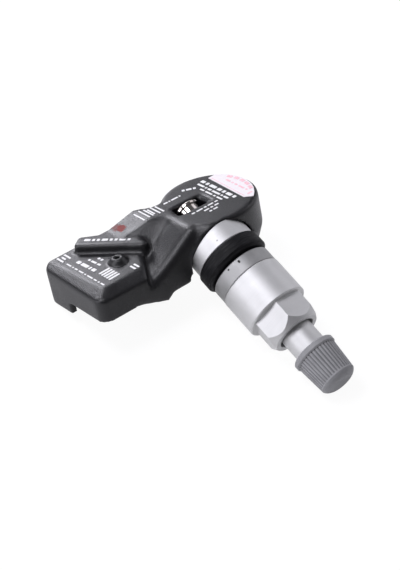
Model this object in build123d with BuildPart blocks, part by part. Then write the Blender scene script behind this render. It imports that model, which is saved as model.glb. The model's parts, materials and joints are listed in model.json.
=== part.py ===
"""Tyre pressure sensor: a moulded housing with its electronics, on an aluminium clamp-in valve."""
import os
from math import atan2, cos, radians, sin, sqrt, tan

from build123d import *

os.makedirs("parts", exist_ok=True)

# Housing, in its own plane: x to the valve side, y along to the round end, z up from the base
block_front = 6.9
block_stop = -11.9
block_top = 6.9
bevel_drop = 1.4
bevel_end = 3.6
bevel_front = 2.9
bevel_end_rear = 2.2
corner_r = 2.5
block_soft = 0.6
bar_top = 9.0
bar_soft = 0.35
deck_top = 11.1
ramp_low_y = -16.9
ramp_high_y = -9.4
ramp_cut = 40.0
deck_front = 3.5
deck_end = 3.0
deck_waist = -8.0
hollow_y = -4.8
hollow_side = 0.5
round_x = -1.56
round_y = 4.71
round_r = 11.5
round_edge = 0.7
round_taper = 1.2
round_taper_top = 3.3
wall = 1.4
end_wall = 1.6
foot_depth = 2.9
foot_length = 9.4
foot_width = 5.0
port_x = -2.4
port_y = -21.5
port_r = 0.6
boss_r = 1.75
boss_foot_r = 2.3
boss_height = 1.25
boss_soft = 0.45
nose_wall = 0.25
sleeve_length = 4.7
flank_rear = -1.1
flank_foot = -21.6
nose_stop = 7.0
nose_foot = 10.4
flank_soft = 2.0
flank_lip = 0.3
hollow_step = 0.35
skin = 0.03
head_gap = 0.65
head_room = 0.8
window_half = 4.3
window_rear = -4.4
window_skew = 0.4
window_cut = 2.4
window_front = -0.5
rim_bevel = 0.7
seat_wall_x = -4.4
seat_wall_y = 10.0
keel_width = 5.0

# Valve, measured along its axis from the point over the housing's origin
valve_drop = 29.3
axis_height = 6.9
seat_s = 7.2
seat_radius = 24.0
seat_gap = 0.04
mouth_gap = 0.3
mouth_start = 2.0
mouth_reach = 18.0
tilt_travel = 6.0
collar_r = 7.75
collar_length = 3.4
seal_proud = 0.45
seal_edge = 0.8
edge = 0.25
tip_edge = 0.5
seal_flange = 4.0
rim_gap = 0.6
rim_hole_r = 5.75
neck_gap = 0.1
recess_gap = 0.2
recess_room = 0.4
seal_neck = 2.2
stem_r = 3.85
thread_r = 4.3
thread_gap = 0.06
thread_stop = 0.55
thread_runout = 0.7
foot_stock = 3.0
washer_inset = 0.25
washer_length = 3.75
washer_gap = 0.25
nut_inset = 0.15
nut_body = 9.6
hex_flats = 12.0
hex_length = 6.5
hex_turn = 51.0
hex_chamfer = 2.2
hex_chamfer_r = 1.0
hex_face_inset = 0.35
nut_bore_r = 4.55
nut_relief = 3.0
stem_show = 5.45
screw_r = 2.0
screw_head_r = 3.25
screw_head = 2.9
screw_flange = 0.8
screw_head_edge = 0.3
screw_neck_r = 2.75
screw_bore_r = 0.7
screw_grip = 6.0
head_clear = 0.15
pocket_reach = 8.0
socket_flats = 2.5
socket_depth = 1.6
web = 9.4
slot_gap = 0.2
cap_grip = 8.0
cap_collar_r = 5.25
cap_collar = 1.4
cap_foot_r = 4.95
cap_tip_r = 4.4
cap_body = 7.0
cap_dome = 1.4
cap_rim = 0.2
cap_join = 0.15
cap_tip_flat = 0.5
cap_tip_curve = 0.83
cap_ribs = 36
rib_depth = 0.18
cap_seal_thick = 0.5
cap_seal_gap = 0.1
core_depth = 7.3
core_length = 4.6
core_barrel = 4.2
core_r = 2.6
core_cone = 1.6
core_gap = 0.05
core_wall = 0.5
core_ease = 0.35
core_room = 7.2
well_r = 2.1
air_r = 1.2
lip = 0.35
pin_r = 0.45
pin_show = 1.0
pin_gap = 0.25
pin_guide_gap = 0.3
pin_tail = 0.4
flange_gap = 0.15
flange_place = 0.2
spring_stop = 1.2
cup_length = 1.5
cup_inset = 0.1
spring_turns = 4
wire_r = 0.14

# Electronics
board_bottom = 3.0
board_thick = 0.8
board_gap = 0.2
board_margin = 0.7
board_short = 0.8
board_corner = 2.0
cell_r = 10.0
cell_height = 2.0
cell_bottom = 0.7
cell_step = 0.3
cell_gap = 0.35
cell_end_gap = 0.3
tab_thick = 0.15
tab_width = 3.0
tab_riser = 1.0
tab_gap = 0.1
potting_bottom = 0.3
ceiling = 5.3
chip_height = 1.0
chip_side = 5.0
controller_side = 6.0
controller_in = 2.5
controller_along = 4.9
crystal_length = 3.2
crystal_width = 2.5
crystal_space = 2.0
coil_length = 8.0
coil_side = 2.4
coil_height = 1.3
coil_cheek = 1.0
coil_space = 0.5
core_thick = 0.7
winding = 0.28
strip_thick = 0.4
strip_height = 1.2
strip_inset = 1.2
strip_short = 6.0
label_thick = 0.12
label_left = 7.25
label_right = 6.85
label_low = 5.1
label_slant = 0.7
label_inset = 0.05

# The block is sized round the cell
block_rear = block_front - 2 * (cell_r + cell_gap + wall)
cavity_stop = block_stop + wall / 2
cavity_end = cavity_stop - 2 * (cell_r + cell_end_gap)
end_y = cavity_end - end_wall

# Places along the valve
collar_end = seat_s + collar_length
seal_r = collar_r + seal_proud
washer_r = collar_r - washer_inset
nut_r = collar_r - nut_inset
seal_face = collar_end + seal_flange
washer_start = seal_face + rim_gap
nut_start = washer_start + washer_length
hex_start = nut_start + nut_body
nut_end = hex_start + hex_length
cap_start = nut_end + stem_show
tip_end = cap_start + cap_grip
rib_start = cap_start + cap_collar
rib_end = rib_start + cap_body
cap_end = rib_end + cap_dome
core_seat = tip_end - core_depth
track_radius = seat_radius - web
pivot_s = seat_s - seat_radius
head_seat_s = pivot_s + track_radius

# Lie on a table: the foot of the plain end and the lower edge of the cap or nut carry it
drop = radians(valve_drop)
angles = []
for rest_s, rest_r in [(rib_end, cap_tip_r), (cap_start, cap_collar_r), (hex_start, nut_r)]:
    rest_x = rest_s * cos(drop) - rest_r * sin(drop)
    rest_z = axis_height - rest_s * sin(drop) - rest_r * cos(drop)
    angles.append(atan2(-foot_depth - rest_z, rest_x - block_rear))
pitch = max(angles)
slope = drop - pitch

# Frame: the origin is the rim seat on the valve axis, +X follows the valve over the table, +Z is up
across = Vector(cos(pitch), 0, sin(pitch))
along = Vector(0, 1, 0)
up = Vector(-sin(pitch), 0, cos(pitch))
axis_dir = Vector(cos(slope), 0, -sin(slope))
axis_zero = axis_dir * -seal_face
base = Plane(origin=axis_zero - up * axis_height, x_dir=across, z_dir=up)
valve_axis = Axis(axis_zero, axis_dir)
half_plane = Plane(origin=axis_zero, x_dir=axis_dir, z_dir=-along)


def cross(s):
    """Plane square to the valve at s: x along the housing, y away from the base."""
    return Plane(origin=axis_zero + axis_dir * s, x_dir=along, z_dir=axis_dir)


def section(x):
    """Upright plane across the housing at x: its x runs along the housing, its y is height."""
    return Plane(origin=base.origin + across * x, x_dir=along, z_dir=across)


def slice_at(y):
    """Upright plane along the housing at y: its x runs to the valve side, its y is height."""
    return Plane(origin=base.origin + along * y, x_dir=across, z_dir=-along)


def height(edge):
    """Height of an edge's middle over the housing's base."""
    return base.to_local_coords(edge.center()).Z


# The curved seat is a barrel about this line, along the housing
pivot = axis_zero + axis_dir * pivot_s
barrel = Plane(origin=pivot - along * seat_radius, x_dir=axis_dir, z_dir=along)

# Space that the valve foot sweeps in front of the seat
mouth_r = collar_r + mouth_gap
with BuildPart() as mouth_space:
    with BuildSketch(cross(mouth_start)):
        Circle(mouth_r)
        with Locations((0, -mouth_r)):
            Rectangle(2 * mouth_r, 2 * mouth_r)
    extrude(amount=mouth_reach)
    with BuildSketch(barrel):
        Circle(seat_radius)
    extrude(amount=2 * seat_radius, mode=Mode.SUBTRACT)

# Pocket for the screw head, open at the window
pocket_half = screw_head_r + head_gap
pocket_low = screw_head_r + head_clear + track_radius * sin(radians(tilt_travel))
pocket_high = deck_top
with BuildPart() as head_space:
    with BuildSketch(cross(head_seat_s - screw_head - head_room)):
        with Locations((0, (pocket_high - pocket_low) / 2)):
            Rectangle(2 * pocket_half, pocket_high + pocket_low)
    extrude(amount=pocket_reach)
    with BuildSketch(barrel):
        Circle(track_radius)
    extrude(amount=2 * seat_radius, mode=Mode.INTERSECT)

# Block: the plain end, its top falling away in two bevels to the end and to the front
block_shape = [
    (block_rear, end_y), (block_front, end_y), (block_front, -20.2), (0, -16.2), (-4, block_stop),
    (block_rear, block_stop),
]
bevel_turn = atan2(bevel_end - bevel_end_rear, block_front - block_rear)
end_bevel = Plane(
    origin=base.from_local_coords((block_rear, end_y + bevel_end_rear, block_top)),
    x_dir=across * sin(bevel_turn) - along * cos(bevel_turn),
    z_dir=across * cos(bevel_turn) + along * sin(bevel_turn),
)
front_bevel = Plane(
    origin=base.from_local_coords((block_front - bevel_front, 0, block_top)), x_dir=across, z_dir=along,
)
with BuildPart() as block:
    with BuildSketch(base):
        Polygon(*block_shape, align=None)
        fillet(vertices().group_by(Axis.Y)[0], corner_r)
    extrude(amount=block_top)
    for bevel_plane, bevel_length in [(end_bevel, bevel_end), (front_bevel, bevel_front)]:
        with BuildSketch(bevel_plane):
            Polygon((0, 0), (3 * bevel_length, 0), (3 * bevel_length, 3 * bevel_drop), align=None)
        extrude(amount=2 * seat_radius, both=True, mode=Mode.SUBTRACT)
    top_edges = edges().filter_by(lambda e: height(e) > block_top - bevel_drop - block_soft)
    fillet(top_edges.filter_by(lambda e: base.to_local_coords(e.center()).Y < port_y + boss_r), block_soft)

# Bar: the raised diagonal pad, from the rear edge to the ramp
bar_outline = [
    (-13.8, -25.8), (-0.6, -15.1), (-0.9, -13.4), (-13.2, -13.4), (-13.0, -18.7), (-16.3, -22.6),
]
with BuildPart() as bar:
    with BuildSketch(base.offset(board_bottom + 1)):
        Polygon(*bar_outline, align=None)
        fillet(vertices().sort_by(Axis.Y)[:2], bar_soft * 2)
    extrude(amount=bar_top - board_bottom - 1)
    chamfer(faces().sort_by(Axis(base.origin, up))[-1].edges(), bar_soft)

# Scoop between the ramp and the flank: rows of place along the housing, depth at the flank and steepness
scoop_rows = [(-17.5, 4.1, 0.76), (-9.4, 9.0 - hollow_step, 0.6), (hollow_y, deck_top + skin, 0.1)]
scoop_reach = 11.0
with BuildPart() as scoop:
    for row_y, foot_z, steepness in scoop_rows:
        with BuildSketch(slice_at(row_y)):
            Polygon(
                (flank_rear + 1, 2 * deck_top), (flank_rear + 1, foot_z - steepness),
                (flank_rear - scoop_reach, foot_z + steepness * scoop_reach),
                (flank_rear - scoop_reach, 2 * deck_top), align=None,
            )
    loft()

# Deck: the raised top round the window, with a ramp down to the bar, a waist at the rear and the scoop
ramp_foot = [(-7.2, ramp_low_y), (-7.5, -20.0), (-13.0, -20.0), (-12.9, -18.7)]
rear_curve = [(-12.3, -10.6), (-11.9, -8.9), (-10.9, -7.4), (-9.5, -4.6), (-10.2, -1.4)]
deck_side = flank_rear + hollow_side
with BuildPart() as deck:
    with BuildSketch(base):
        with BuildLine():
            Polyline(
                (deck_front, deck_end), (deck_front, hollow_y), (deck_side, hollow_y),
                (deck_side, ramp_low_y), *ramp_foot, rear_curve[0],
            )
            ThreePointArc(*rear_curve[:3])
            ThreePointArc(*rear_curve[2:])
            Polyline(rear_curve[-1], (deck_waist, deck_end), (deck_front, deck_end))
        make_face()
    extrude(amount=deck_top)
    with BuildSketch(section(-ramp_cut / 2)):
        with BuildLine():
            Polyline(
                (end_y, bar_top), (ramp_low_y, bar_top), (ramp_high_y, deck_top),
                (ramp_high_y, 2 * deck_top), (end_y, 2 * deck_top), close=True,
            )
        make_face()
    extrude(amount=ramp_cut, mode=Mode.SUBTRACT)
    add(scoop.part, mode=Mode.SUBTRACT)

# Nose: the flank beside the valve, falling in a curve from the deck to the base
flank_curve = [(-20.4, 3.3), (-16.0, 5.2), (-12.6, 7.0), (-9.4, 9.0), (-6.2, deck_top)]
with BuildPart() as nose:
    with BuildSketch(section(flank_rear)):
        with BuildLine():
            Spline(*flank_curve)
            Polyline(
                flank_curve[-1], (nose_stop, deck_top), (nose_foot, 0), (flank_foot, 0), flank_curve[0],
            )
        make_face()
    extrude(amount=block_front - flank_rear)
    front_edges = edges().group_by(Axis(base.origin, across))[-1]
    fillet(front_edges.filter_by(lambda e: height(e) > flank_curve[0][1]), flank_soft)
    rear_edges = edges().group_by(Axis(base.origin, across))[0]
    chamfer(rear_edges.filter_by(GeomType.BSPLINE), flank_lip)

# Round end, straight at the top and drawn in at the base
with BuildPart() as round_end:
    with BuildSketch(section(round_x)):
        with BuildLine():
            Polyline(
                (round_y, deck_top), (round_y, 0), (round_y + round_r - round_taper, 0),
                (round_y + round_r, round_taper_top), (round_y + round_r, deck_top - round_edge),
                (round_y + round_r - 0.3 * round_edge, deck_top - 0.3 * round_edge),
                (round_y + round_r - round_edge, deck_top), close=True,
            )
        make_face()
    revolve(axis=Axis(base.from_local_coords((round_x, round_y, 0)), up))

# Plan of the potted pan: a tray in the block, a channel through the waist and a space in the round end
cavity_rear = block_rear + wall
cavity_front = block_front - wall
waist_x = -11.0
waist_y = block_stop - wall
channel_rear = [(-10.8, -10.4), (-9.4, -7.2), (-8.0, -4.6), (-8.7, 3.0)]
round_base_r = round_r - round_taper
pan_r = round_base_r - wall
with BuildSketch() as pan_plan:
    with Locations((round_x, round_y)):
        Circle(pan_r)
    with Locations((seat_wall_x + round_r, seat_wall_y - round_r)):
        Rectangle(2 * round_r, 2 * round_r, mode=Mode.SUBTRACT)
    Polygon(
        (cavity_rear, cavity_end), (cavity_front, cavity_end), (cavity_front, cavity_stop),
        (waist_x, cavity_stop), (waist_x, waist_y), (cavity_rear, waist_y), align=None,
    )
    Polygon(
        (waist_x, waist_y), *channel_rear, (seat_wall_x, round_y), (seat_wall_x, waist_y), align=None,
    )

# Plan of the circuit board, stepped round the port
board_rear = cavity_rear + board_gap
board_front = cavity_front - board_margin
board_end = cavity_end + 2 * board_gap
board_stop = block_stop - board_short
with BuildSketch() as board_plan:
    Polygon(
        (board_rear, board_end), (board_front, board_end), (board_front, port_y - 0.2),
        (port_x + 3.7, port_y - 0.2), (port_x + 3.7, port_y + 2.9), (port_x + 0.7, port_y + 2.9),
        (port_x + 0.7, board_stop),
        (waist_x + board_gap, board_stop), (waist_x + board_gap, board_stop - board_corner),
        (board_rear, board_stop - board_corner), align=None,
    )

# Housing: the forms joined, with feet, cavities, pressure port, valve mouth and screw window
round_foot_x = round_x - round_base_r
round_foot = foot_depth + (round_foot_x - block_rear) * tan(pitch)
slot_low = seat_radius * sin(radians(tilt_travel))
keel_shape = [(-24, 1), (-24, 0), (-15.8, -3), (-14.4, -1.6), (-9, -1.6), (-9, 1)]
with BuildPart() as housing:
    add(block.part)
    add(bar.part)
    add(deck.part)
    add(nose.part)
    add(round_end.part)
    with BuildSketch(cross(seat_s)):
        Circle(collar_r + nose_wall)
    extrude(amount=-sleeve_length)
    with BuildSketch(base.offset(deck_top)):
        Rectangle(4 * seat_radius, 4 * seat_radius)
    extrude(amount=collar_r, mode=Mode.SUBTRACT)
    with BuildSketch(section(block_front)):
        Polygon(*keel_shape, align=None)
    extrude(amount=-keel_width)
    with BuildSketch(base):
        Polygon(*block_shape, align=None)
        fillet(vertices().group_by(Axis.Y)[0], corner_r)
        add(pan_plan.sketch, mode=Mode.SUBTRACT)
        with Locations((block_rear, end_y)):
            Rectangle(foot_length, foot_width, align=Align.MIN, mode=Mode.INTERSECT)
    extrude(amount=-foot_depth)
    with BuildSketch(base):
        with Locations((round_x, round_y)):
            Circle(round_base_r)
            Circle(pan_r, mode=Mode.SUBTRACT)
        with Locations((round_foot_x, round_y)):
            Rectangle(foot_width, foot_width, mode=Mode.INTERSECT)
    extrude(amount=-round_foot)
    with BuildSketch(base):
        add(pan_plan.sketch)
    extrude(amount=board_bottom, mode=Mode.SUBTRACT)
    with BuildSketch(base.offset(board_bottom)):
        add(board_plan.sketch)
        offset(amount=board_gap, kind=Kind.INTERSECTION)
    extrude(amount=ceiling - board_bottom, mode=Mode.SUBTRACT)
    with BuildSketch(base.offset(board_bottom)):
        with Locations((round_x, round_y)):
            Circle(pan_r)
        with Locations((round_x, seat_wall_y - round_r)):
            Rectangle(4 * round_r, 2 * round_r, mode=Mode.SUBTRACT)
    extrude(amount=block_top - board_bottom, mode=Mode.SUBTRACT)
    with BuildSketch(section(port_x)):
        with Locations((port_y, block_top)):
            Polygon(
                (0, -skin), (boss_foot_r, -skin), (boss_r, boss_height - boss_soft),
                (boss_r - boss_soft, boss_height), (0, boss_height), align=None,
            )
    revolve(axis=Axis(base.from_local_coords((port_x, port_y, 0)), up))
    with BuildSketch(base.offset(ceiling)):
        with Locations((port_x, port_y)):
            Circle(port_r)
    extrude(amount=deck_top, mode=Mode.SUBTRACT)
    add(mouth_space.part, mode=Mode.SUBTRACT)
    add(head_space.part, mode=Mode.SUBTRACT)
    with BuildSketch(cross(head_seat_s - 2)):
        with Locations((0, -slot_low / 2)):
            SlotOverall(slot_low + 2 * (screw_r + slot_gap), 2 * (screw_r + slot_gap), rotation=90)
    extrude(amount=web + 4, mode=Mode.SUBTRACT)
    for sink, rim in [(0, rim_bevel), (rim_bevel, 0)]:
        with BuildSketch(base.offset(deck_top - sink)):
            Polygon(
                (window_rear - rim, window_cut - window_half),
                (window_rear + window_skew - rim, window_half + rim),
                (window_front + window_skew, window_half + rim), (window_front - window_skew, -window_half),
                (window_rear + window_cut - rim, -window_half), align=None,
            )
    loft(ruled=True, mode=Mode.SUBTRACT)
housing.part.label = "housing"
export_step(housing.part, "parts/housing.step")

# Coin cell under the board
cell_x = (cavity_rear + cavity_front) / 2
cell_y = (cavity_end + cavity_stop) / 2
cell_top = cell_bottom + cell_height
with BuildPart() as coin_cell:
    with BuildSketch(base.offset(cell_bottom)):
        with Locations((cell_x, cell_y)):
            Circle(cell_r - cell_step)
    extrude(amount=cell_step)
    with BuildSketch(base.offset(cell_bottom + cell_step)):
        with Locations((cell_x, cell_y)):
            Circle(cell_r)
    extrude(amount=cell_height - cell_step)
coin_cell.part.label = "coin_cell"
export_step(coin_cell.part, "parts/coin_cell.step")

# Welded tabs of the cell: the upper one to the board, the lower one round the side
with BuildPart() as cell_tab_top:
    with BuildSketch(base.offset(cell_top)):
        with Locations((cell_x, cell_y)):
            Rectangle(tab_width, cell_r - tab_riser, align=(Align.CENTER, Align.MIN))
    extrude(amount=tab_thick)
    with BuildSketch(base.offset(cell_top)):
        with Locations((cell_x, cell_y + cell_r - tab_riser)):
            Rectangle(tab_width, tab_riser, align=(Align.CENTER, Align.MAX))
    extrude(amount=board_bottom - cell_top)
cell_tab_top.part.label = "cell_tab_top"
export_step(cell_tab_top.part, "parts/cell_tab_top.step")

tab_side = cell_y + cell_r + tab_thick + tab_gap
with BuildPart() as cell_tab_bottom:
    with BuildSketch(base.offset(cell_bottom - tab_thick)):
        with Locations((cell_x, tab_side)):
            Rectangle(tab_width, cell_r / 2, align=(Align.CENTER, Align.MAX))
    extrude(amount=tab_thick)
    with BuildSketch(base.offset(cell_bottom - tab_thick)):
        with Locations((cell_x, tab_side)):
            Rectangle(tab_width, tab_thick, align=(Align.CENTER, Align.MAX))
    extrude(amount=board_bottom - cell_bottom + tab_thick)
cell_tab_bottom.part.label = "cell_tab_bottom"
export_step(cell_tab_bottom.part, "parts/cell_tab_bottom.step")

# Circuit board in the block
board_top = board_bottom + board_thick
with BuildPart() as circuit_board:
    with BuildSketch(base.offset(board_bottom)):
        add(board_plan.sketch)
    extrude(amount=board_thick)
circuit_board.part.label = "circuit_board"
export_step(circuit_board.part, "parts/circuit_board.step")

# Parts soldered on the board
with BuildPart() as pressure_chip:
    with BuildSketch(base.offset(board_top)):
        with Locations((port_x, port_y)):
            Rectangle(chip_side, chip_side)
    extrude(amount=chip_height)
    with BuildSketch(base.offset(board_top + chip_height / 2)):
        with Locations((port_x, port_y)):
            Circle(port_r)
    extrude(amount=chip_height, mode=Mode.SUBTRACT)
pressure_chip.part.label = "pressure_chip"
export_step(pressure_chip.part, "parts/pressure_chip.step")

with BuildPart() as port_gasket:
    with BuildSketch(base.offset(board_top + chip_height)):
        with Locations((port_x, port_y)):
            Circle(boss_r)
            Circle(port_r, mode=Mode.SUBTRACT)
    extrude(amount=ceiling - board_top - chip_height)
port_gasket.part.label = "port_gasket"
export_step(port_gasket.part, "parts/port_gasket.step")

controller_x = board_rear + controller_side / 2 + controller_in
controller_y = board_end + controller_side / 2 + controller_along
with BuildPart() as controller_chip:
    with BuildSketch(base.offset(board_top)):
        with Locations((controller_x, controller_y)):
            Rectangle(controller_side, controller_side)
    extrude(amount=chip_height)
controller_chip.part.label = "controller_chip"
export_step(controller_chip.part, "parts/controller_chip.step")

crystal_out = controller_side / 2 + crystal_space
with BuildPart() as crystal:
    with BuildSketch(base.offset(board_top)):
        with Locations((controller_x + crystal_out, controller_y - crystal_out)):
            RectangleRounded(crystal_length, crystal_width, crystal_width / 6)
    extrude(amount=chip_height)
crystal.part.label = "crystal"
export_step(crystal.part, "parts/crystal.step")

with BuildPart() as rf_antenna:
    with BuildSketch(base.offset(board_top)):
        with BuildLine():
            Polyline(
                (board_front - strip_inset, port_y - 1), (board_front - strip_inset, board_end + strip_inset),
                (board_rear + strip_inset, board_end + strip_inset),
                (board_rear + strip_inset, board_stop - strip_short),
            )
        trace(line_width=strip_thick)
    extrude(amount=strip_height)
rf_antenna.part.label = "rf_antenna"
export_step(rf_antenna.part, "parts/rf_antenna.step")

coil_x = port_x - coil_length / 2 + board_gap
coil_y = board_stop - coil_side - coil_space
with BuildPart() as coil_core:
    with BuildSketch(base.offset(board_top)):
        with Locations((coil_x, coil_y)):
            Rectangle(coil_length, coil_side)
            Rectangle(coil_length - 2 * coil_cheek, coil_side, mode=Mode.SUBTRACT)
    extrude(amount=coil_height)
    with BuildSketch(base.offset(board_top + (coil_height - core_thick) / 2)):
        with Locations((coil_x, coil_y)):
            Rectangle(coil_length - 2 * coil_cheek, 2 * core_thick)
    extrude(amount=core_thick)
coil_core.part.label = "coil_core"
export_step(coil_core.part, "parts/coil_core.step")

with BuildPart() as coil_winding:
    with BuildSketch(section(coil_x - coil_length / 2 + coil_cheek)):
        with Locations((coil_y, board_top + coil_height / 2)):
            Rectangle(2 * core_thick + 2 * winding, core_thick + 2 * winding)
            Rectangle(2 * core_thick, core_thick, mode=Mode.SUBTRACT)
    extrude(amount=coil_length - 2 * coil_cheek)
coil_winding.part.label = "coil_winding"
export_step(coil_winding.part, "parts/coil_winding.step")

# Potting that closes the base round the cell
with BuildPart() as potting_compound:
    with BuildSketch(base.offset(potting_bottom)):
        add(pan_plan.sketch)
    extrude(amount=board_bottom - potting_bottom)
    add(coin_cell.part, mode=Mode.SUBTRACT)
    add(cell_tab_top.part, mode=Mode.SUBTRACT)
    add(cell_tab_bottom.part, mode=Mode.SUBTRACT)
potting_compound.part.label = "potting_compound"
export_step(potting_compound.part, "parts/potting_compound.step")

# Paper label on the round end, cut across with a slanting corner
label_edge = round_r - round_edge - label_inset
with BuildPart() as label_sticker:
    with BuildSketch(base.offset(deck_top)):
        with Locations((round_x, round_y)):
            Circle(label_edge)
            Polygon(
                (-label_left, label_low + label_slant), (label_right, label_low),
                (label_right + label_edge / 2, label_edge), (-label_left, label_edge), align=None,
                mode=Mode.INTERSECT,
            )
    extrude(amount=label_thick)
label_sticker.part.label = "label_sticker"
export_step(label_sticker.part, "parts/label_sticker.step")

# Hollow fixing screw: flanged, round-seated head in the window, shank in the valve foot
screw_end = seat_s + screw_grip
head_back = head_seat_s - screw_head
head_face = pivot_s + sqrt((track_radius - seat_gap) ** 2 - screw_r**2)
head_rim_s = pivot_s + sqrt((track_radius - seat_gap) ** 2 - screw_neck_r**2)
with BuildPart() as fixing_screw:
    with BuildSketch(half_plane):
        with BuildLine():
            Line((head_back, 0), (head_back, screw_head_r - screw_head_edge))
            Polyline(
                (head_back, screw_head_r - screw_head_edge), (head_back + screw_head_edge, screw_head_r),
                (head_back + screw_flange, screw_head_r), (head_back + screw_flange, screw_neck_r),
                (head_rim_s, screw_neck_r), (head_face, screw_r), (head_face, 0), (head_back, 0),
            )
        make_face()
        with BuildLine():
            Polyline(
                (head_back + socket_depth, 0), (head_back + socket_depth, screw_r), (screw_end, screw_r),
                (screw_end, 0), close=True,
            )
        make_face()
    revolve(axis=valve_axis)
    with BuildSketch(cross(head_back)):
        RegularPolygon(socket_flats / 2, 6, major_radius=False)
    extrude(amount=socket_depth, mode=Mode.SUBTRACT)
    with BuildSketch(cross(head_back)):
        Circle(screw_bore_r)
    extrude(amount=screw_end - head_back, mode=Mode.SUBTRACT)
fixing_screw.part.label = "fixing_screw"
export_step(fixing_screw.part, "parts/fixing_screw.step")

# Valve stem: foot cut to the seat, collar, nut thread, plain stem, bored through
foot_back = seat_s - foot_stock
thread_end = nut_end - nut_relief - thread_stop
well_start = core_seat - core_room
with BuildPart() as valve_stem:
    with BuildSketch(half_plane):
        with BuildLine():
            Polyline(
                (foot_back, 0), (foot_back, collar_r), (collar_end - edge, collar_r),
                (collar_end, collar_r - edge), (collar_end, thread_r), (thread_end, thread_r),
                (thread_end + thread_runout, stem_r),
                (tip_end - tip_edge, stem_r), (tip_end, stem_r - tip_edge), (tip_end, 0), close=True,
            )
        make_face()
        with BuildLine():
            Polyline((foot_back, 0), (foot_back, screw_r), (screw_end, screw_r), (screw_end, 0), close=True)
        make_face(mode=Mode.SUBTRACT)
        with BuildLine():
            Polyline(
                (screw_end - 1, 0), (screw_end - 1, air_r), (well_start, air_r), (well_start, well_r),
                (core_seat, well_r), (core_seat + core_cone, core_r + core_gap),
                (tip_end + 1, core_r + core_gap), (tip_end + 1, 0), close=True,
            )
        make_face(mode=Mode.SUBTRACT)
    revolve(axis=valve_axis)
    with BuildSketch(barrel):
        Circle(seat_radius + seat_gap)
    extrude(amount=2 * seat_radius, mode=Mode.SUBTRACT)
valve_stem.part.label = "valve_stem"
export_step(valve_stem.part, "parts/valve_stem.step")

# Rubber rim seal: flange inside the wheel, neck through the rim hole
neck_r = rim_hole_r - neck_gap
neck_end = seal_face + seal_neck
with BuildPart() as rim_seal:
    with BuildSketch(half_plane):
        with BuildLine():
            Polyline(
                (collar_end, thread_r), (collar_end, seal_r - edge), (collar_end + edge, seal_r),
                (seal_face - seal_edge, seal_r), (seal_face, seal_r - seal_edge), (seal_face, neck_r),
                (neck_end - edge, neck_r), (neck_end, neck_r - edge), (neck_end, thread_r), close=True,
            )
        make_face()
    revolve(axis=valve_axis)
rim_seal.part.label = "rim_seal"
export_step(rim_seal.part, "parts/rim_seal.step")

# Washer with a recess for the neck
recess_r = rim_hole_r + recess_gap
recess_end = neck_end + recess_room
washer_bore_r = thread_r + washer_gap
with BuildPart() as clamp_washer:
    with BuildSketch(half_plane):
        with BuildLine():
            Polyline(
                (washer_start, recess_r), (washer_start, washer_r - edge), (washer_start + edge, washer_r),
                (nut_start - edge / 2, washer_r), (nut_start, washer_r - edge / 2),
                (nut_start, washer_bore_r), (recess_end, washer_bore_r), (recess_end, recess_r), close=True,
            )
        make_face()
    revolve(axis=valve_axis)
clamp_washer.part.label = "clamp_washer"
export_step(clamp_washer.part, "parts/clamp_washer.step")

# Union nut: round body, hex with a chamfered end
with BuildPart() as hex_end:
    with BuildSketch(cross(hex_start)):
        RegularPolygon(hex_flats / 2, 6, major_radius=False, rotation=hex_turn)
    extrude(amount=hex_length)
    with BuildSketch(half_plane):
        with BuildLine():
            Polyline(
                (hex_start, 0), (hex_start, hex_flats),
                (nut_end - hex_chamfer, hex_flats / 2 + hex_chamfer_r),
                (nut_end, hex_flats / 2 - hex_face_inset), (nut_end, 0), close=True,
            )
        make_face()
    revolve(axis=valve_axis, mode=Mode.INTERSECT)

with BuildPart() as union_nut:
    with BuildSketch(half_plane):
        with BuildLine():
            Polyline(
                (nut_start, 0), (nut_start, nut_r - edge), (nut_start + edge, nut_r),
                (hex_start - edge, nut_r), (hex_start, nut_r - edge), (hex_start, 0), close=True,
            )
        make_face()
    revolve(axis=valve_axis)
    add(hex_end.part)
    with BuildSketch(cross(nut_start)):
        Circle(thread_r + thread_gap)
    extrude(amount=nut_body + hex_length, mode=Mode.SUBTRACT)
    with BuildSketch(cross(nut_end)):
        Circle(nut_bore_r)
    extrude(amount=-nut_relief, mode=Mode.SUBTRACT)
union_nut.part.label = "union_nut"
export_step(union_nut.part, "parts/union_nut.step")

# Valve core: threaded body, sealing ring, pin with its cup, and spring
core_top = core_seat + core_length
barrel_end = core_seat - core_barrel
gasket_end = core_seat + core_cone + 2 * core_gap
lip_end = barrel_end + lip
flange_s = core_seat + flange_place
barrel_r = well_r - core_ease
spring_room_r = barrel_r - core_wall
with BuildPart() as core_body:
    with BuildSketch(half_plane):
        with BuildLine():
            Polyline(
                (barrel_end, pin_r + pin_gap), (barrel_end, barrel_r), (gasket_end, barrel_r),
                (gasket_end, core_r), (core_top, core_r), (core_top, pin_r + pin_guide_gap),
                (core_seat + spring_stop, pin_r + pin_guide_gap),
                (core_seat + spring_stop, spring_room_r), (lip_end, spring_room_r),
                (lip_end, pin_r + pin_gap), close=True,
            )
        make_face()
    revolve(axis=valve_axis)
core_body.part.label = "core_body"
export_step(core_body.part, "parts/core_body.step")

with BuildPart() as core_gasket:
    with BuildSketch(half_plane):
        with BuildLine():
            Polyline(
                (core_seat, barrel_r), (core_seat, well_r - skin), (core_seat + core_cone, core_r),
                (gasket_end, core_r), (gasket_end, barrel_r), close=True,
            )
        make_face()
    revolve(axis=valve_axis)
core_gasket.part.label = "core_gasket"
export_step(core_gasket.part, "parts/core_gasket.step")

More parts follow.
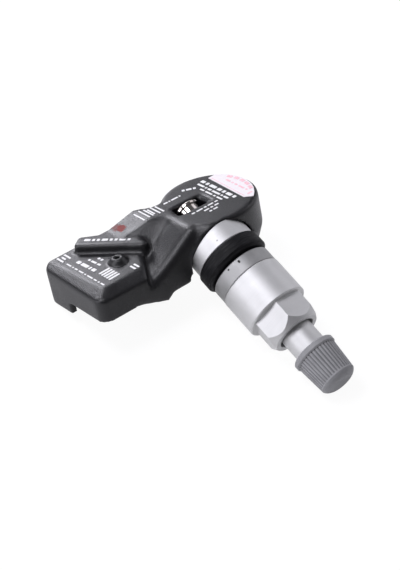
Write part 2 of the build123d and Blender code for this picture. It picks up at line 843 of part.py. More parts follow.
pin_top = core_top + pin_show
pin_foot = barrel_end - cup_length - pin_tail
with BuildPart() as core_pin:
    with BuildSketch(half_plane):
        with BuildLine():
            Polyline(
                (pin_foot, 0), (pin_foot, pin_r), (flange_s, pin_r), (flange_s, spring_room_r - flange_gap),
                (flange_s + lip, spring_room_r - flange_gap), (flange_s + lip, pin_r), (pin_top, pin_r),
                (pin_top, 0), close=True,
            )
        make_face()
    revolve(axis=valve_axis)
core_pin.part.label = "core_pin"
export_step(core_pin.part, "parts/core_pin.step")

with BuildPart() as core_cup:
    with BuildSketch(half_plane):
        with BuildLine():
            Polyline(
                (barrel_end - cup_length, pin_r), (barrel_end - cup_length, barrel_r - 2 * cup_inset),
                (barrel_end, barrel_r - cup_inset), (barrel_end, pin_r), close=True,
            )
        make_face()
    revolve(axis=valve_axis)
core_cup.part.label = "core_cup"
export_step(core_cup.part, "parts/core_cup.step")

# Cap: plain collar, ribbed taper, domed end, hollow, with its seal on the stem's end
seal_seat = tip_end + cap_seal_thick


def rib_outline(r):
    """Corners of the ribbed outline with crests at radius r."""
    corners = []
    for k in range(2 * cap_ribs):
        turn = radians(180.0 * k / cap_ribs)
        reach = r if k % 2 == 0 else r - rib_depth
        corners.append((reach * cos(turn), reach * sin(turn)))
    return corners


with BuildPart() as valve_cap:
    with BuildSketch(cross(rib_start)):
        Polygon(*rib_outline(cap_foot_r), align=None)
    with BuildSketch(cross(rib_end)):
        Polygon(*rib_outline(cap_tip_r), align=None)
    loft(ruled=True)
    with BuildSketch(half_plane):
        with BuildLine():
            Polyline(
                (cap_start, 0), (cap_start, cap_collar_r - edge), (cap_start + edge, cap_collar_r),
                (rib_start - cap_rim, cap_collar_r), (rib_start + cap_join, cap_foot_r),
                (rib_start + cap_join, 0), close=True,
            )
        make_face()
        with BuildLine():
            Line((rib_end - cap_join, 0), (rib_end - cap_join, cap_tip_r))
            Line((rib_end - cap_join, cap_tip_r), (rib_end + cap_rim, cap_tip_r))
            ThreePointArc(
                (rib_end + cap_rim, cap_tip_r), (cap_end - 0.3 * cap_dome, cap_tip_r * cap_tip_curve),
                (cap_end, cap_tip_r * cap_tip_flat),
            )
            Line((cap_end, cap_tip_r * cap_tip_flat), (cap_end, 0))
            Line((cap_end, 0), (rib_end - cap_join, 0))
        make_face()
    revolve(axis=valve_axis)
    with BuildSketch(cross(cap_start)):
        Circle(stem_r + thread_gap)
    extrude(amount=seal_seat - cap_start, mode=Mode.SUBTRACT)
valve_cap.part.label = "valve_cap"
export_step(valve_cap.part, "parts/valve_cap.step")

with BuildPart() as cap_seal:
    with BuildSketch(cross(tip_end)):
        Circle(stem_r)
        Circle(core_r + cap_seal_gap, mode=Mode.SUBTRACT)
    extrude(amount=seal_seat - tip_end)
cap_seal.part.label = "cap_seal"
export_step(cap_seal.part, "parts/cap_seal.step")

# Spring between the barrel's lower lip and the pin's flange
spring_height = flange_s - lip_end - 2 * wire_r
with BuildPart() as core_spring:
    with BuildLine() as coil:
        Helix(
            pitch=spring_height / spring_turns, height=spring_height, radius=(pin_r + spring_room_r) / 2,
            center=cross(lip_end + wire_r).origin, direction=axis_dir,
        )
    with BuildSketch(Plane(origin=coil.line @ 0, z_dir=coil.line % 0)):
        RegularPolygon(wire_r, 4)
    sweep(is_frenet=True)
core_spring.part.label = "core_spring"
export_step(core_spring.part, "parts/core_spring.step")
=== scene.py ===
"""Looks of the tyre pressure sensor: finishes, print, label, threads and a plain studio."""

import json
from math import atan2, hypot, pi, radians

import bpy
from mathutils import Matrix, Vector


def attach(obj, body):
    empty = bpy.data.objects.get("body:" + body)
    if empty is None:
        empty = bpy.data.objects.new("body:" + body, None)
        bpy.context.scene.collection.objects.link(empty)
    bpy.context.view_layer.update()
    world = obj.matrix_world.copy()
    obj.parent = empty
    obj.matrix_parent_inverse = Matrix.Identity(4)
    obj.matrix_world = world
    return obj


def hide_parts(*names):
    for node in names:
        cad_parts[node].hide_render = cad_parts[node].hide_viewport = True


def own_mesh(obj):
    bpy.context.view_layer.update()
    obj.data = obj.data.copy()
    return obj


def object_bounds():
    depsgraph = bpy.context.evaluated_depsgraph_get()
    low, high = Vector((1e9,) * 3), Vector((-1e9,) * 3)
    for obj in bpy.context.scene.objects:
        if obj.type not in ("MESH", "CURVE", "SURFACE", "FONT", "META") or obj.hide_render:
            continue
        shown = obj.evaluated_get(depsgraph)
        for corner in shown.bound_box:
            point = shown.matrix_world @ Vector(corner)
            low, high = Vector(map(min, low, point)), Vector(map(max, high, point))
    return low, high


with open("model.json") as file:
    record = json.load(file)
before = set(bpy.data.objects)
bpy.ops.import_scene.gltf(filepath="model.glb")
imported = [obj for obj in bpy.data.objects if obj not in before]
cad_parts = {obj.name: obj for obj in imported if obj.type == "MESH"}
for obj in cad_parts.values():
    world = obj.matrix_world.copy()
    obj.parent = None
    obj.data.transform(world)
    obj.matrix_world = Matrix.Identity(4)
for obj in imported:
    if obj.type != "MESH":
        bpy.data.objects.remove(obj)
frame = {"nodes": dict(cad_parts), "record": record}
cad_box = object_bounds()
nodes = frame["nodes"]
mm = 0.001

# Housing's own plane: across to the valve side, along to the round end, up from its base
mounts = {mount["name"]: mount for mount in frame["record"]["mounts"]}
axis_dir = Vector(mounts["rim_clamp"]["axis"]).normalized()
up = -Vector(mounts["foot_rest"]["axis"]).normalized()
along = Vector((0, 1, 0))
across = along.cross(up)
pitch = atan2(-up.x, up.z)
slope = atan2(-axis_dir.z, axis_dir.x)
# Place of the foot_rest mount in that plane
foot_place = Vector((-11.6, -32.6, -2.9)) * mm
foot_shift = across * foot_place.x + along * foot_place.y + up * foot_place.z
base_origin = Vector(mounts["foot_rest"]["pos_m"]) - foot_shift

# Heights of the printed faces over the base, ends of the ramp, and places of the port and the flank, in mm
block_top = 6.9
bar_top = 9.0
deck_top = 11.1
ramp_low = -16.9
ramp_high = -9.4
label_top = 11.22
port = (-2.4, -21.5)
port_reach = 3.0
port_margin = 0.3
port_weight = 0.08
scoop_side = (-5.5, -3.5)
scoop_foot = (-24.0, -21.0)
scoop_head = (-5.0, -3.6)

# Merged copies and the rounded housing: lengths in metres, smoothing in passes
merge_gap = 0.000002
smooth_angle = radians(35)
smooth_factor = 0.5
shell_voxel = 0.0003
shell_passes = 14
scoop_passes = 32

# Print, threads, cap ribs and pin, in mm; ink_corner is a share of a bar, thread_half of a pitch
ink = 0.03
ink_sink = 0.01
ink_corner = 0.22
cap_thread_start = 26.4
cap_thread_r = 3.85
cap_pitch = 0.794
cap_thread_turns = 9
nut_thread_start = 3.0
nut_thread_r = 4.3
nut_pitch = 0.75
nut_thread_turns = 17
thread_half = 0.42
thread_steps = 40
thread_proud = 0.045
thread_root = 0.15
cap_ribs = 36
rib_start = 27.4
rib_end = 34.2

# Camera, fitted to the photograph, in metres
camera_place = Vector((0.176958, -0.161246, 0.243010))
camera_right = Vector((0.630104, 0.776251, 0.020073))
camera_down = Vector((0.568441, -0.443500, -0.692952))
camera_lens = 136.319
sensor_width = 36.0

# Studio
floor_size = 12.0
floor_gap = 0.00005
shadow_share = 0.12
mirror_glow = 0.2
floor_glow = 1.06
lamp_tint = (0.94, 0.935, 1.0)
world_light = 0.15

# Lamps: direction from the object, distance and size in metres, power in watts
lamps = {
    "key": (Vector((-0.92, 0.12, 0.33)), 0.5, 0.18, 1.5),
    "top": (Vector((-0.3, -0.33, 0.9)), 0.55, 0.18, 1.45),
    "side": (Vector((-0.3, -0.88, 0.38)), 0.55, 0.3, 1.15),
    "far": (Vector((0.0, 0.85, 0.5)), 0.6, 0.46, 0.75),
}


def finish(name, colour, roughness, metallic=0.0, specular=0.5):
    """A new material with its plain values, its node tree and its shader."""
    material = bpy.data.materials.new(name)
    material.use_nodes = True
    shader = material.node_tree.nodes["Principled BSDF"]
    shader.inputs["Base Color"].default_value = (*colour, 1)
    shader.inputs["Roughness"].default_value = roughness
    shader.inputs["Metallic"].default_value = metallic
    shader.inputs["Specular IOR Level"].default_value = specular
    return material, material.node_tree, shader


def housing_coordinates(tree):
    """Place on the housing: x across, y along, z up from its base."""
    return turned_coordinates(tree, base_origin, -pitch)


def valve_coordinates(tree):
    """Place on the valve: x along its axis from the rim seat."""
    return turned_coordinates(tree, Vector((0, 0, 0)), slope)


def turned_coordinates(tree, origin, turn):
    """Object coordinates from a new origin, turned about Y."""
    place = tree.nodes.new("ShaderNodeTexCoord")
    mapping = tree.nodes.new("ShaderNodeMapping")
    mapping.vector_type = "TEXTURE"
    mapping.inputs["Location"].default_value = origin
    mapping.inputs["Rotation"].default_value = (0, turn, 0)
    tree.links.new(place.outputs["Object"], mapping.inputs["Vector"])
    return mapping.outputs["Vector"]


def noise(tree, place, scale, detail=2.0, stretch=(1, 1, 1)):
    """Noise over a place, stretched by a factor on each axis."""
    mapping = tree.nodes.new("ShaderNodeMapping")
    mapping.inputs["Scale"].default_value = stretch
    texture = tree.nodes.new("ShaderNodeTexNoise")
    texture.inputs["Scale"].default_value = scale
    texture.inputs["Detail"].default_value = detail
    tree.links.new(place, mapping.inputs["Vector"])
    tree.links.new(mapping.outputs["Vector"], texture.inputs["Vector"])
    return texture.outputs["Fac"]


def spread(tree, value, low, high, to_low, to_high):
    """Maps a value from one span to another, clamped."""
    node = tree.nodes.new("ShaderNodeMapRange")
    for socket, number in (("From Min", low), ("From Max", high), ("To Min", to_low), ("To Max", to_high)):
        node.inputs[socket].default_value = number
    tree.links.new(value, node.inputs["Value"])
    return node.outputs["Result"]


def mixed_colour(tree, share, first, second):
    """Mixes two colours; each is a plain colour or another node's output."""
    node = tree.nodes.new("ShaderNodeMix")
    node.data_type = "RGBA"
    tree.links.new(share, node.inputs["Factor"])
    for socket, colour in ((node.inputs[6], first), (node.inputs[7], second)):
        if isinstance(colour, tuple):
            socket.default_value = (*colour, 1)
        else:
            tree.links.new(colour, socket)
    return node.outputs[2]


def combined(tree, operation, first, second):
    """One operation on two values; each is a number or another node's output."""
    node = tree.nodes.new("ShaderNodeMath")
    node.operation = operation
    for socket, value in zip(node.inputs, (first, second)):
        if isinstance(value, (int, float)):
            socket.default_value = value
        else:
            tree.links.new(value, socket)
    return node.outputs["Value"]


def bump(tree, shader, height, distance, strength, edge=0.0):
    """Raises a shader's surface by a height map, with its edges softened by a radius if one is given."""
    node = tree.nodes.new("ShaderNodeBump")
    node.inputs["Strength"].default_value = strength
    node.inputs["Distance"].default_value = distance
    tree.links.new(height, node.inputs["Height"])
    if edge:
        soft = tree.nodes.new("ShaderNodeBevel")
        soft.samples = 8
        soft.inputs["Radius"].default_value = edge
        tree.links.new(soft.outputs["Normal"], node.inputs["Normal"])
    tree.links.new(node.outputs["Normal"], shader.inputs["Normal"])


def spot(tree, place, centre, reach, ragged):
    """A soft-edged mark: 1 within its reach of a centre, 0 outside, with a ragged rim."""
    shift = tree.nodes.new("ShaderNodeMapping")
    shift.vector_type = "TEXTURE"
    shift.inputs["Location"].default_value = Vector(centre) * mm
    shift.inputs["Scale"].default_value = Vector(reach) * mm
    length = tree.nodes.new("ShaderNodeVectorMath")
    length.operation = "LENGTH"
    tree.links.new(place, shift.inputs["Vector"])
    tree.links.new(shift.outputs["Vector"], length.inputs[0])
    rough = noise(tree, place, 1600, 3)
    edge = combined(tree, "ADD", length.outputs["Value"], combined(tree, "MULTIPLY", rough, ragged))
    return spread(tree, edge, 0.85 + ragged / 2, 1.1 + ragged / 2, 1, 0)


def housing_plastic():
    """Black moulded plastic with a spark grain and a smeared dab of red paint."""
    material, tree, shader = finish("housing_plastic", (0.004, 0.004, 0.005), 0.37, specular=0.55)
    place = housing_coordinates(tree)
    clouds = noise(tree, place, 160, 4)
    grain = noise(tree, place, 4800, 2)
    cloudy = spread(tree, clouds, 0.3, 0.7, 0, 1)
    plain = mixed_colour(tree, cloudy, (0.003, 0.003, 0.004), (0.006, 0.006, 0.0075))
    flecked = mixed_colour(tree, spread(tree, grain, 0.56, 0.72, 0, 0.4), plain, (0.05, 0.05, 0.056))
    dab = spot(tree, place, (-9.9, -14.7, 9.6), (1.35, 1.0, 3.0), 1.3)
    smear = spot(tree, place, (-11.3, -15.1, 9.6), (1.5, 0.9, 3.0), 1.8)
    paint = combined(tree, "MAXIMUM", dab, combined(tree, "MULTIPLY", smear, 0.6))
    painted = mixed_colour(tree, combined(tree, "MULTIPLY", paint, 0.6), flecked, (0.3, 0.022, 0.016))
    tree.links.new(painted, shader.inputs["Base Color"])
    plain_gloss = spread(tree, clouds, 0.3, 0.7, 0.33, 0.41)
    gloss = combined(tree, "ADD", plain_gloss, combined(tree, "MULTIPLY", paint, 0.3))
    tree.links.new(gloss, shader.inputs["Roughness"])
    bump(tree, shader, grain, 0.00008, 0.7)
    return material


def satin_aluminium():
    """Satin aluminium with faint turning rings about the valve and one small dark mark on the collar."""
    material, tree, shader = finish("satin_aluminium", (0.7, 0.7, 0.7), 0.58, metallic=1.0)
    place = valve_coordinates(tree)
    rings = noise(tree, place, 1000, 2, stretch=(9, 0.05, 0.05))
    clouds = noise(tree, place, 220, 3)
    plain = mixed_colour(tree, spread(tree, clouds, 0.3, 0.7, 0, 1), (0.67, 0.67, 0.67), (0.73, 0.73, 0.73))
    mark = spot(tree, place, (-5.46, -3.48, 6.92), (0.22, 0.22, 0.3), 0.5)
    marked = mixed_colour(tree, combined(tree, "MULTIPLY", mark, 0.6), plain, (0.25, 0.24, 0.23))
    tree.links.new(marked, shader.inputs["Base Color"])
    tree.links.new(spread(tree, rings, 0.3, 0.7, 0.54, 0.62), shader.inputs["Roughness"])
    bump(tree, shader, rings, 0.000006, 0.35, edge=0.0002)
    return material


def washer_steel():
    """Dull plated steel with a mottled face and two dark pits."""
    material, tree, shader = finish("washer_steel", (0.42, 0.42, 0.42), 0.58, metallic=1.0)
    place = valve_coordinates(tree)
    clouds = noise(tree, place, 420, 4)
    rings = noise(tree, place, 1000, 2, stretch=(7, 0.1, 0.1))
    plain = mixed_colour(tree, spread(tree, clouds, 0.3, 0.7, 0, 1), (0.38, 0.38, 0.38), (0.46, 0.46, 0.46))
    pits = combined(
        tree, "MAXIMUM",
        spot(tree, place, (1.64, -2.88, 6.92), (0.36, 0.26, 0.4), 0.5),
        spot(tree, place, (1.41, -5.35, 5.26), (0.22, 0.2, 0.3), 0.5),
    )
    tree.links.new(mixed_colour(tree, pits, plain, (0.03, 0.028, 0.026)), shader.inputs["Base Color"])
    tree.links.new(spread(tree, clouds, 0.3, 0.7, 0.52, 0.64), shader.inputs["Roughness"])
    height = combined(tree, "SUBTRACT", rings, combined(tree, "MULTIPLY", pits, 4))
    bump(tree, shader, height, 0.000012, 0.5, edge=0.00015)
    return material


def seal_rubber():
    """Black rubber with fine streaks round the valve."""
    material, tree, shader = finish("seal_rubber", (0.007, 0.007, 0.008), 0.5, specular=0.16)
    place = valve_coordinates(tree)
    streaks = noise(tree, place, 1000, 3, stretch=(5, 0.35, 0.35))
    pale = spread(tree, streaks, 0.45, 0.75, 0, 1)
    colour = mixed_colour(tree, pale, (0.005, 0.005, 0.006), (0.022, 0.022, 0.024))
    tree.links.new(colour, shader.inputs["Base Color"])
    tree.links.new(spread(tree, streaks, 0.3, 0.7, 0.62, 0.45), shader.inputs["Roughness"])
    bump(tree, shader, streaks, 0.00003, 0.5, edge=0.0003)
    return material


def cap_plastic():
    """Grey moulded plastic of the cap, with painted shade between its ribs."""
    material, tree, shader = finish("cap_plastic", (0.32, 0.32, 0.33), 0.46, specular=0.4)
    place = valve_coordinates(tree)
    clouds = noise(tree, place, 300, 4)
    plain = mixed_colour(tree, spread(tree, clouds, 0.3, 0.7, 0, 1), (0.3, 0.3, 0.31), (0.37, 0.37, 0.38))
    split = tree.nodes.new("ShaderNodeSeparateXYZ")
    tree.links.new(place, split.inputs["Vector"])
    turn = combined(tree, "ARCTAN2", split.outputs["Y"], split.outputs["Z"])
    # Painted shade: the colour is darkened in the grooves between the ribs
    crest = combined(tree, "COSINE", combined(tree, "MULTIPLY", turn, cap_ribs), 0)
    groove_shade = spread(tree, crest, -1, 0.1, 1, 0)
    past_start = combined(tree, "GREATER_THAN", split.outputs["X"], rib_start * mm)
    before_end = combined(tree, "LESS_THAN", split.outputs["X"], rib_end * mm)
    ribbed = combined(tree, "MULTIPLY", past_start, before_end)
    shade = combined(tree, "MULTIPLY", groove_shade, combined(tree, "MULTIPLY", ribbed, 0.75))
    tree.links.new(mixed_colour(tree, shade, plain, (0.1, 0.1, 0.105)), shader.inputs["Base Color"])
    bump(tree, shader, noise(tree, place, 3000, 2), 0.00003, 0.4, edge=0.00008)
    return material


def plated_nickel():
    """Bright nickel with a faint warm tint and fine scratches."""
    material, tree, shader = finish("nickel", (0.6, 0.56, 0.52), 0.09, metallic=1.0)
    place = valve_coordinates(tree)
    clouds = noise(tree, place, 500, 3)
    cloudy = spread(tree, clouds, 0.35, 0.65, 0, 1)
    colour = mixed_colour(tree, cloudy, (0.56, 0.51, 0.47), (0.64, 0.61, 0.58))
    tree.links.new(colour, shader.inputs["Base Color"])
    tree.links.new(spread(tree, clouds, 0.3, 0.7, 0.06, 0.13), shader.inputs["Roughness"])
    bump(tree, shader, noise(tree, place, 1400, 2, stretch=(1, 0.2, 0.2)), 0.000008, 0.3, edge=0.00012)
    return material


def label_paper():
    """Coated paper, white with a slight pink cast and faint fibres."""
    material, tree, shader = finish("label_paper", (0.9, 0.86, 0.88), 0.5, specular=0.35)
    place = housing_coordinates(tree)
    fibres = noise(tree, place, 1800, 4)
    fibrous = spread(tree, fibres, 0.3, 0.7, 0, 1)
    colour = mixed_colour(tree, fibrous, (0.81, 0.765, 0.785), (0.85, 0.815, 0.83))
    tree.links.new(colour, shader.inputs["Base Color"])
    bump(tree, shader, fibres, 0.00001, 0.3)
    return material


def print_ink(name, colour, worn_colour, wear):
    """Thin printing ink that lets a little of the ground show where it is worn."""
    material, tree, shader = finish(name, colour, 0.55, specular=0.3)
    wear_map = noise(tree, housing_coordinates(tree), 2600, 3)
    share = spread(tree, wear_map, 0.5, 0.75, 0, wear)
    tree.links.new(mixed_colour(tree, share, colour, worn_colour), shader.inputs["Base Color"])
    bump(tree, shader, wear_map, 0.00001, 0.3)
    return material


def mottled(name, dark, light, roughness, metallic=0.0, depth=0.00001):
    """A finish of two near colours in clouds with a fine grain, for the inner pieces."""
    material, tree, shader = finish(name, dark, roughness, metallic)
    place = valve_coordinates(tree)
    clouds = noise(tree, place, 400, 3)
    colour = mixed_colour(tree, spread(tree, clouds, 0.3, 0.7, 0, 1), dark, light)
    tree.links.new(colour, shader.inputs["Base Color"])
    bump(tree, shader, noise(tree, place, 2500, 2), depth, 0.4)
    return material


def wound_copper():
    """Enamelled copper wire laid side by side across the coil, with painted shade in the valleys between the
    wires.
    """
    material, tree, shader = finish("copper", (0.62, 0.27, 0.12), 0.32, metallic=1.0)
    place = housing_coordinates(tree)
    wires = tree.nodes.new("ShaderNodeTexWave")
    wires.inputs["Scale"].default_value = 900
    tree.links.new(place, wires.inputs["Vector"])
    # Painted shade: the copper is darker in the valleys between the wires, where the bump is low
    tint = mixed_colour(tree, wires.outputs["Fac"], (0.4, 0.15, 0.07), (0.68, 0.31, 0.15))
    tree.links.new(tint, shader.inputs["Base Color"])
    bump(tree, shader, wires.outputs["Fac"], 0.00004, 0.6)
    return material


def dress_nodes():
    """Gives every CAD node the finish of its slot."""
    finishes = {
        "housing_plastic": housing_plastic(),
        "label_paper": label_paper(),
        "nickel": plated_nickel(),
        "satin_aluminium": satin_aluminium(),
        "washer_steel": washer_steel(),
        "seal_rubber": seal_rubber(),
        "cap_plastic": cap_plastic(),
        "copper": wound_copper(),
        "core_brass": mottled("core_brass", (0.55, 0.4, 0.16), (0.68, 0.5, 0.22), 0.3, metallic=1.0),
        "spring_steel": mottled("spring_steel", (0.4, 0.4, 0.4), (0.56, 0.56, 0.56), 0.28, metallic=1.0),
        "cell_steel": mottled("cell_steel", (0.5, 0.5, 0.5), (0.62, 0.62, 0.62), 0.26, metallic=1.0),
        "board_laminate": mottled("board_laminate", (0.02, 0.14, 0.06), (0.03, 0.19, 0.09), 0.4),
        "chip_plastic": mottled("chip_plastic", (0.02, 0.02, 0.021), (0.032, 0.032, 0.033), 0.5),
        "ferrite": mottled("ferrite", (0.06, 0.056, 0.055), (0.1, 0.095, 0.093), 0.6),
        "potting_resin": mottled(
            "potting_resin", (0.03, 0.03, 0.033), (0.05, 0.05, 0.055), 0.35, depth=0.00003,
        ),
    }
    for row in frame["record"]["subparts"]:
        for slot in nodes[row["node"]].material_slots:
            slot.material = finishes[row["material_slot"]]


def fade(value, low, high):
    """0 below the low end, 1 above the high end, and even between."""
    return min(max((value - low) / (high - low), 0.0), 1.0)


def merged_copy(node, name, body):
    """A copy of a CAD node's mesh, merged to one skin, which stands for the node on its body."""
    bpy.ops.object.select_all(action="DESELECT")
    piece = nodes[node].copy()
    piece.data = nodes[node].data.copy()
    bpy.context.collection.objects.link(piece)
    piece.select_set(True)
    bpy.context.view_layer.objects.active = piece
    bpy.ops.object.mode_set(mode="EDIT")
    bpy.ops.mesh.select_all(action="SELECT")
    bpy.ops.mesh.remove_doubles(threshold=merge_gap)
    bpy.ops.object.mode_set(mode="OBJECT")
    bpy.ops.mesh.customdata_custom_splitnormals_clear()
    bpy.ops.object.shade_smooth_by_angle(angle=smooth_angle)
    piece.name = name
    piece.data.name = name
    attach(piece, body)
    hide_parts(node)
    return piece


def soft_housing():
    """The housing with the rounded edges of a moulding: its CAD mesh merged, remeshed finely and smoothed."""
    shell = merged_copy("housing", "soft_housing", "housing")
    skin = shell.modifiers.new("skin", "REMESH")
    skin.mode = "VOXEL"
    skin.voxel_size = shell_voxel
    skin.use_smooth_shade = True
    bpy.ops.object.modifier_apply(modifier="skin")
    edges = shell.vertex_groups.new(name="edges")
    scoop = shell.vertex_groups.new(name="scoop")
    for vertex in shell.data.vertices:
        place = vertex.co - base_origin
        x, y, z = place.dot(across) / mm, place.dot(along) / mm, place.dot(up) / mm
        near_port = z > block_top - port_margin and hypot(x - port[0], y - port[1]) < port_reach
        edges.add([vertex.index], port_weight if near_port else 1.0, "REPLACE")
        inside = fade(x, *scoop_side) * fade(y, *scoop_foot) * (1 - fade(y, *scoop_head))
        if inside > 0 and not near_port:
            scoop.add([vertex.index], inside, "REPLACE")
    for group, passes in ((edges, shell_passes), (scoop, scoop_passes)):
        soft = shell.modifiers.new("soft", "SMOOTH")
        soft.factor = smooth_factor
        soft.iterations = passes
        soft.vertex_group = group.name
        bpy.ops.object.modifier_apply(modifier=soft.name)
    shell.vertex_groups.clear()


def live_spring():
    """The core's spring as a merged copy with its own mesh, riding on the valve."""
    spring = merged_copy("core_spring", "live_spring", "valve")
    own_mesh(spring)


def printed_face(height, start=0.0, rise=0.0):
    """Frame of a printed face, in mm on the housing: x across, y along, from a start line and its rise."""
    y_dir = (along + up * rise).normalized()
    z_dir = across.cross(y_dir)
    origin = base_origin + (along * start + up * height) * mm
    turn = Matrix((across, y_dir, z_dir)).transposed().to_4x4()
    return Matrix.Translation(origin) @ turn


def settle_patch(patch, face, x, y, turn):
    """Gives a flat patch the ink's thickness and sets it on its face."""
    layer = patch.modifiers.new("ink", "SOLIDIFY")
    layer.thickness = (ink + ink_sink) * mm
    layer.offset = 1
    bpy.ops.object.modifier_apply(modifier=layer.name)
    place = Matrix.Translation((x * mm, y * mm, -ink_sink * mm)) @ Matrix.Rotation(turn, 4, "Z")
    patch.matrix_world = face @ place
    bpy.ops.object.transform_apply(location=True, rotation=True, scale=True)
    return patch


def ink_bar(face, x, y, wide, tall, turn=0.0):
    """A printed bar with slightly rounded corners."""
    bpy.ops.object.select_all(action="DESELECT")
    bpy.ops.mesh.primitive_plane_add(size=1)
    bpy.ops.object.mode_set(mode="EDIT")
    bpy.ops.mesh.select_all(action="SELECT")
    bpy.ops.transform.resize(value=(wide * mm, tall * mm, 1))
    bpy.ops.mesh.bevel(offset=min(wide, tall) * ink_corner * mm, segments=3, affect="VERTICES")
    bpy.ops.object.mode_set(mode="OBJECT")
    return settle_patch(bpy.context.object, face, x, y, turn)


def joined_print(name, patches, material):
    """Joins printed patches to one piece that moves with the housing."""
    bpy.ops.object.select_all(action="DESELECT")
    for patch in patches:
        patch.select_set(True)
    bpy.context.view_layer.objects.active = patches[0]
    bpy.ops.object.join()
    piece = bpy.context.object
    piece.name = name
    piece.data.name = name
    piece.data.materials.clear()
    piece.data.materials.append(material)
    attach(piece, "housing")
    return piece


def row_of_bars(face, start, end, tall, lengths, gap):
    """A row of bars that fills the line between two points, with lengths and a gap in proportion."""
    line = Vector((end[0] - start[0], end[1] - start[1], 0))
    turn = atan2(line.y, line.x)
    step = line.normalized()
    scale = line.length / (sum(lengths) + gap * (len(lengths) - 1))
    reach = 0.0
    bars = []
    for length in lengths:
        middle = Vector((start[0], start[1], 0)) + step * (reach + length * scale / 2)
        bars.append(ink_bar(face, middle.x, middle.y, length * scale, tall, turn))
        reach += (length + gap) * scale
    return bars


def print_housing():
    """White print on the block, the bar, the deck and the nose: plain bars."""
    white = print_ink("print_white", (0.84, 0.84, 0.84), (0.45, 0.45, 0.45), 0.6)
    block = printed_face(block_top)
    bar = printed_face(bar_top)
    deck = printed_face(deck_top)
    ramp = printed_face(bar_top, ramp_low, (deck_top - bar_top) / (ramp_high - ramp_low))
    corner_bars = [(-29.5, 2.6), (-28.5, 1.6), (-27.5, 2.6)]
    patches = [ink_bar(block, -14.2, y, wide, 0.5) for y, wide in corner_bars]
    edge_lengths = [1.6, 0.5, 1.0, 1.6, 0.5, 2.0, 1.0, 0.5, 1.2]
    patches += row_of_bars(block, (-11.6, -29.4), (3.0, -29.15), 0.42, edge_lengths, 0.45)
    patches += row_of_bars(block, (-10.4, -27.3), (-3.6, -26.95), 1.0, [1.2, 2.4, 0.6, 1.2], 0.4)
    patches += row_of_bars(block, (-8.9, -25.2), (-4.6, -24.85), 0.6, [0.6, 1.6, 1.0], 0.35)
    patches += row_of_bars(block, (-7.6, -23.4), (-5.9, -23.3), 0.7, [0.6, 0.6], 0.3)
    for step in (-2, -1, 0, 1, 2):
        patches.append(ink_bar(block, 0.1 + 0.95 * step, -25.7, 0.6, 3.0, radians(2)))
    patches += [ink_bar(block, 2.4, y, 2.0, 0.5) for y in (-20.8, -19.8)]
    joined_print("block_print", patches, white)
    bar_lengths = [1.3, 0.6, 0.6, 1.3, 0.6, 0.6, 1.3, 0.6]
    bar_row = row_of_bars(bar, (-13.7, -22.6), (-4.9, -15.7), 0.9, bar_lengths, 0.4)
    joined_print("bar_print", bar_row, white)
    stripes = [ink_bar(ramp, -8.4, 6.9, 4.3, 0.34)]
    deck_stripes = [
        (-8.9, -8.2, 4.6), (-7.9, -7.9, 4.0), (-7.3, -7.7, 3.0), (-6.3, -7.4, 4.0), (-5.3, -7.1, 3.6),
    ]
    for y, x, wide in deck_stripes:
        stripes.append(ink_bar(deck, x, y, wide, 0.42))
    stripes += row_of_bars(deck, (-8.0, -3.4), (-7.9, 1.4), 0.55, [1.2, 0.4, 2.0, 0.4], 0.35)
    stripes += row_of_bars(deck, (-9.4, 3.0), (-7.7, 5.9), 0.8, [0.7, 1.3, 0.7], 0.35)
    stripes += row_of_bars(deck, (-9.2, 8.75), (3.6, 8.75), 0.95, [1.2, 0.8, 2.0, 1.2, 0.8, 1.6, 0.8], 0.45)
    stripes += row_of_bars(deck, (-8.8, 7.35), (2.6, 7.35), 0.6, [2.4, 0.6, 1.2, 2.8, 0.6, 1.6], 0.4)
    stripes += row_of_bars(deck, (-6.4, 6.2), (1.8, 6.2), 0.5, [1.2, 2.0, 0.6, 1.6], 0.4)
    joined_print("deck_print", stripes, white)
    lines = row_of_bars(deck, (1.25, -2.2), (1.25, 5.3), 0.5, [0.8, 1.6, 0.6, 1.4, 0.8], 0.4)
    lines += row_of_bars(deck, (2.5, 0.4), (2.5, 4.6), 0.5, [1.2, 0.6, 1.0], 0.35)
    lines += row_of_bars(deck, (3.7, 1.0), (3.7, 3.4), 0.5, [0.6, 1.0], 0.35)
    joined_print("nose_print", lines, white)


def print_label():
    """Pale red bars on the paper label, the upper ones along an arc."""
    paper = printed_face(label_top)
    pale = print_ink("print_pale_red", (0.86, 0.5, 0.56), (0.9, 0.78, 0.82), 0.9)
    arc_middle = -1.5
    arc_top = 14.6
    arc_sag = 0.045
    arc_turn = -4.5
    patches = []
    for x in (-5, -3, -1, 1, 3):
        off = x - arc_middle
        patches.append(ink_bar(paper, x, arc_top - arc_sag * off ** 2, 1.5, 0.9, radians(arc_turn * off)))
    patches += row_of_bars(paper, (-4.6, 12.6), (3.4, 12.4), 0.5, [1.6, 0.6, 0.9, 2.0, 0.6], 0.6)
    patches += [ink_bar(paper, 5.0, 11.9, 0.5, 1.3)]
    patches += row_of_bars(paper, (-8.0, 10.95), (4.9, 10.3), 0.12, [1], 0)
    joined_print("label_print", patches, pale)


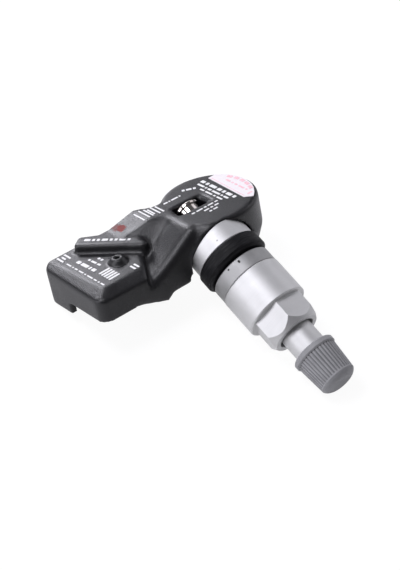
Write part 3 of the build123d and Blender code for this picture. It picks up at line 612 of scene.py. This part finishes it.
def thread_ridge(name, start, radius, pitch_length, turns, body):
    """A screw thread's ridge round the valve axis, from a start along it, in mm."""
    bpy.ops.object.select_all(action="DESELECT")
    bpy.ops.mesh.primitive_circle_add(vertices=4, radius=pitch_length * thread_half * mm, fill_type="NGON")
    bpy.ops.object.mode_set(mode="EDIT")
    bpy.ops.mesh.select_all(action="SELECT")
    bpy.ops.transform.rotate(value=pi / 2, orient_axis="X", center_override=(0, 0, 0))
    bpy.ops.transform.resize(value=((thread_proud + thread_root) / pitch_length / (2 * thread_half), 1, 1))
    bpy.ops.transform.translate(value=((radius + (thread_proud - thread_root) / 2) * mm, 0, 0))
    bpy.ops.object.mode_set(mode="OBJECT")
    ridge = bpy.context.object
    helix = ridge.modifiers.new("helix", "SCREW")
    helix.angle = 2 * pi
    helix.screw_offset = pitch_length * mm
    helix.iterations = turns
    helix.steps = thread_steps
    helix.render_steps = thread_steps
    helix.use_normal_calculate = True
    bpy.ops.object.modifier_apply(modifier=helix.name)
    bpy.ops.object.mode_set(mode="EDIT")
    bpy.ops.mesh.select_all(action="SELECT")
    bpy.ops.mesh.remove_doubles(threshold=merge_gap)
    bpy.ops.mesh.normals_make_consistent(inside=False)
    bpy.ops.object.mode_set(mode="OBJECT")
    turn = axis_dir.to_track_quat("Z", "Y").to_matrix().to_4x4()
    ridge.matrix_world = Matrix.Translation(axis_dir * start * mm) @ turn
    bpy.ops.object.transform_apply(location=True, rotation=True, scale=True)
    ridge.name = name
    ridge.data.name = name
    ridge.data.materials.append(bpy.data.materials["satin_aluminium"])
    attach(ridge, body)


def studio_camera():
    """The camera at the photograph's viewing angle."""
    data = bpy.data.cameras.new("camera")
    data.lens = camera_lens
    data.sensor_width = sensor_width
    data.sensor_fit = "HORIZONTAL"
    data.clip_start = 0.01
    data.clip_end = 10
    camera = bpy.data.objects.new("camera", data)
    bpy.context.collection.objects.link(camera)
    away = camera_right.cross(camera_down) * -1
    turn = Matrix((camera_right, -camera_down, away)).transposed()
    camera.matrix_world = Matrix.Translation(camera_place) @ turn.to_4x4()
    bpy.context.scene.camera = camera


def seen_share(tree):
    """How much of the floor's glow is seen: nearly all by the camera, part of it in a gloss or a glass."""
    path = tree.nodes.new("ShaderNodeLightPath")
    shine = combined(tree, "MAXIMUM", path.outputs["Is Glossy Ray"], path.outputs["Is Transmission Ray"])
    straight = combined(tree, "MULTIPLY", path.outputs["Is Camera Ray"], 1 - shadow_share)
    return combined(tree, "MAXIMUM", straight, combined(tree, "MULTIPLY", shine, mirror_glow))


def studio_world():
    """A dim, even light from all round."""
    world = bpy.data.worlds.new("studio_world")
    world.use_nodes = True
    bpy.context.scene.world = world
    light = world.node_tree.nodes["Background"]
    light.inputs["Color"].default_value = (*lamp_tint, 1)
    light.inputs["Strength"].default_value = world_light


def studio_floor():
    """A white floor that keeps a faint shadow."""
    bpy.ops.object.select_all(action="DESELECT")
    low = cad_box[0][2] - floor_gap
    bpy.ops.mesh.primitive_plane_add(size=floor_size, location=(0, 0, low))
    floor = bpy.context.object
    floor.name = "floor"
    paint, tree, shader = finish("floor_white", (0.9, 0.9, 0.9), 0.9, specular=0.0)
    glow = tree.nodes.new("ShaderNodeEmission")
    mix = tree.nodes.new("ShaderNodeMixShader")
    glow.inputs["Strength"].default_value = floor_glow
    tree.links.new(seen_share(tree), mix.inputs["Fac"])
    tree.links.new(shader.outputs["BSDF"], mix.inputs[1])
    tree.links.new(glow.outputs["Emission"], mix.inputs[2])
    tree.links.new(mix.outputs["Shader"], tree.nodes["Material Output"].inputs["Surface"])
    floor.data.materials.append(paint)


def area_lamp(name, direction, distance, size, power):
    """A soft square lamp that points at the object."""
    data = bpy.data.lights.new(name, "AREA")
    data.size = size
    data.energy = power
    data.color = lamp_tint
    lamp = bpy.data.objects.new(name, data)
    bpy.context.collection.objects.link(lamp)
    lamp.location = direction.normalized() * distance
    lamp.rotation_euler = (-direction).to_track_quat("-Z", "Y").to_euler()


dress_nodes()
soft_housing()
live_spring()
print_housing()
print_label()
thread_ridge("cap_thread", cap_thread_start, cap_thread_r, cap_pitch, cap_thread_turns, "valve")
thread_ridge("nut_thread", nut_thread_start, nut_thread_r, nut_pitch, nut_thread_turns, "valve")
studio_camera()
studio_world()
studio_floor()
for lamp_name, (direction, distance, size, power) in lamps.items():
    area_lamp(lamp_name, direction, distance, size, power)
bpy.context.scene.view_settings.view_transform = "Standard"
